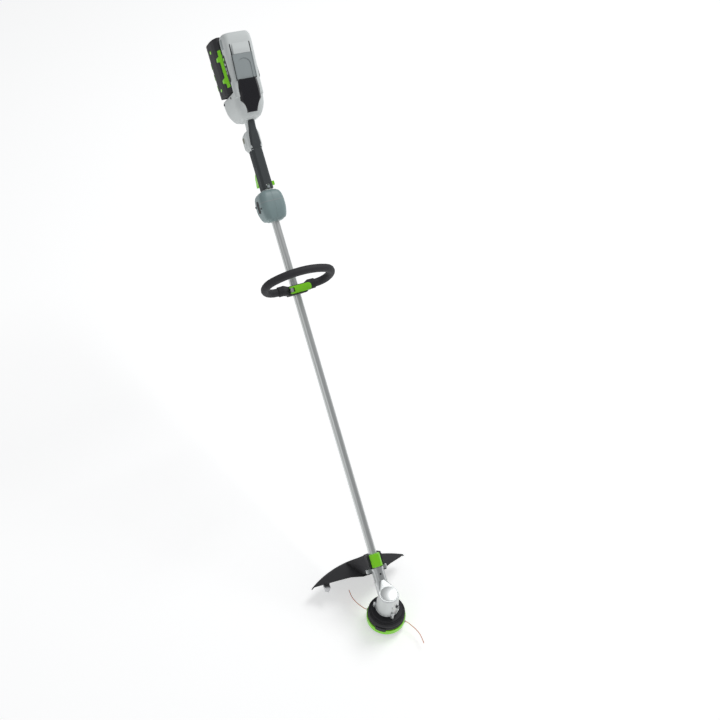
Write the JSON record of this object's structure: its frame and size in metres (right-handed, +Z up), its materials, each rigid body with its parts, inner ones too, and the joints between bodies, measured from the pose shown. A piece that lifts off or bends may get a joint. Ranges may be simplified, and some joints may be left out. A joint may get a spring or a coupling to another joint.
{
  "type": "string trimmer",
  "caption": "Long straight-shaft battery string trimmer with bump-feed line head, curved guard, loop front handle, trigger rear handle and slide-out battery.",
  "frame": {"origin": "centre of the bump knob's flat underside, on the ground, on the spin axis of the head", "axes": "+Z up along the head's spin axis; the shaft rises towards the user at +Y, 52 degrees from +Z; X is sideways, the guard's longer wing is on -X"},
  "size_m": [0.3202, 1.5349, 1.2805],
  "materials": {
    "light_shell": "fine-textured moulded plastic",
    "mid_shell": "fine-textured moulded plastic",
    "dark_plastic": "satin moulded plastic",
    "gloss_black": "polished plastic",
    "lime": "satin moulded plastic",
    "rubber_grip": "soft overmould",
    "tube_metal": "satin anodised",
    "cast_metal": "bead-blasted casting",
    "steel": "machined",
    "black_steel": "black oxide",
    "copper": "enamelled wire",
    "board": "circuit board",
    "cell_wrap": "shrink wrap",
    "line_nylon": "extruded nylon"
  },
  "bodies": {
    "frame": {"spindle_bearings": "steel", "bearing_cap": "cast_metal", "cap_screws": "black_steel", "gearcase": "cast_metal", "grease_plug": "black_steel", "lock_screw": "black_steel", "pinion_bearings": "steel", "shaft_tube": "tube_metal", "tube_bushes": "dark_plastic", "guard": "dark_plastic", "guard_cover": "lime", "guard_screws": "black_steel", "line_cutter": "steel", "motor_shell_left": "light_shell", "motor_shell_right": "light_shell", "motor_mount": "cast_metal", "motor_stator": "copper", "handle_left": "light_shell", "handle_right": "light_shell", "handle_rubber": "rubber_grip", "trigger_switch": "dark_plastic", "housing_left": "light_shell", "housing_right": "light_shell", "top_cover": "gloss_black", "top_panel": "mid_shell", "controller": "board", "side_plates": "dark_plastic", "shell_screws": "black_steel"},
    "head": {"spindle": "steel", "spindle_collar": "black_steel", "bevel_gear": "steel", "head_cover": "dark_plastic", "head_base": "lime", "base_rim": "dark_plastic", "line_eyelets": "steel", "line_left": "line_nylon", "line_right": "line_nylon", "bump_spring": "steel"},
    "bump": {"bump_knob": "dark_plastic", "spool": "dark_plastic", "wound_line": "line_nylon"},
    "drive": {"drive_shaft": "steel", "pinion": "steel", "motor_shaft": "steel", "motor_rotor": "steel", "cooling_fan": "dark_plastic"},
    "loop": {"loop_bracket": "dark_plastic", "loop_jaw": "dark_plastic", "loop_grip": "dark_plastic", "clamp_bolts": "steel", "lever_pin": "steel"},
    "lever": {"quick_lever": "lime"},
    "trigger": {"trigger": "lime"},
    "lockoff": {"lockoff_button": "lime"},
    "speed": {"speed_switch": "mid_shell"},
    "paddle": {"release_paddle": "mid_shell"},
    "battery": {"battery_case": "dark_plastic", "battery_frame": "lime", "battery_base": "dark_plastic", "battery_cells": "cell_wrap"}
  },
  "joints": [
    {"name": "head_spin", "type": "hinge", "parent": "frame", "child": "head", "pos_m": [0, 0, 0.1], "axis": [0, 0, 1], "continuous": true},
    {"name": "bump_press", "type": "slide", "parent": "head", "child": "bump", "axis": [0, 0, 1], "range_m": [0, 0.005], "stiffness_N_per_m": 1500, "deforming": ["bump_spring"]},
    {"name": "drive_spin", "type": "hinge", "parent": "frame", "child": "drive", "pos_m": [0, 0.47281, 0.4664], "axis": [0, 0.788, 0.6157], "continuous": true},
    {"name": "loop_slide", "type": "slide", "parent": "frame", "child": "loop", "axis": [0, 0.788, 0.6157], "range_m": [-0.08, 0.08]},
    {"name": "lever_open", "type": "hinge", "parent": "loop", "child": "lever", "pos_m": [-0.021, 0.75507, 0.73858], "axis": [0, -0.788, -0.6157], "range_deg": [0, 100]},
    {"name": "trigger_pull", "type": "hinge", "parent": "frame", "child": "trigger", "pos_m": [0, 1.07563, 0.93738], "axis": [-0.9945, -0.0644, 0.0824], "range_deg": [0, 7], "stiffness_Nm_per_rad": 1.6},
    {"name": "lockoff_press", "type": "slide", "parent": "frame", "child": "lockoff", "axis": [-0.9945, -0.0644, 0.0824], "range_m": [0, 0.003], "stiffness_N_per_m": 600},
    {"name": "speed_press", "type": "slide", "parent": "frame", "child": "speed", "axis": [-0.1045, 0.6123, -0.7837], "range_m": [0, 0.002], "stiffness_N_per_m": 600},
    {"name": "battery_slide", "type": "slide", "parent": "frame", "child": "battery", "axis": [0, 0.788, 0.6157], "range_m": [0, 0.18]},
    {"name": "paddle_press", "type": "hinge", "parent": "frame", "child": "paddle", "pos_m": [0.01136, 1.21731, 1.18527], "axis": [-0.9945, -0.0644, 0.0824], "range_deg": [0, 4], "stiffness_Nm_per_rad": 1.2}
  ],
  "couplings": [
    {"joint": "drive_spin", "follows": "head_spin", "ratio": -1.6364}
  ]
}
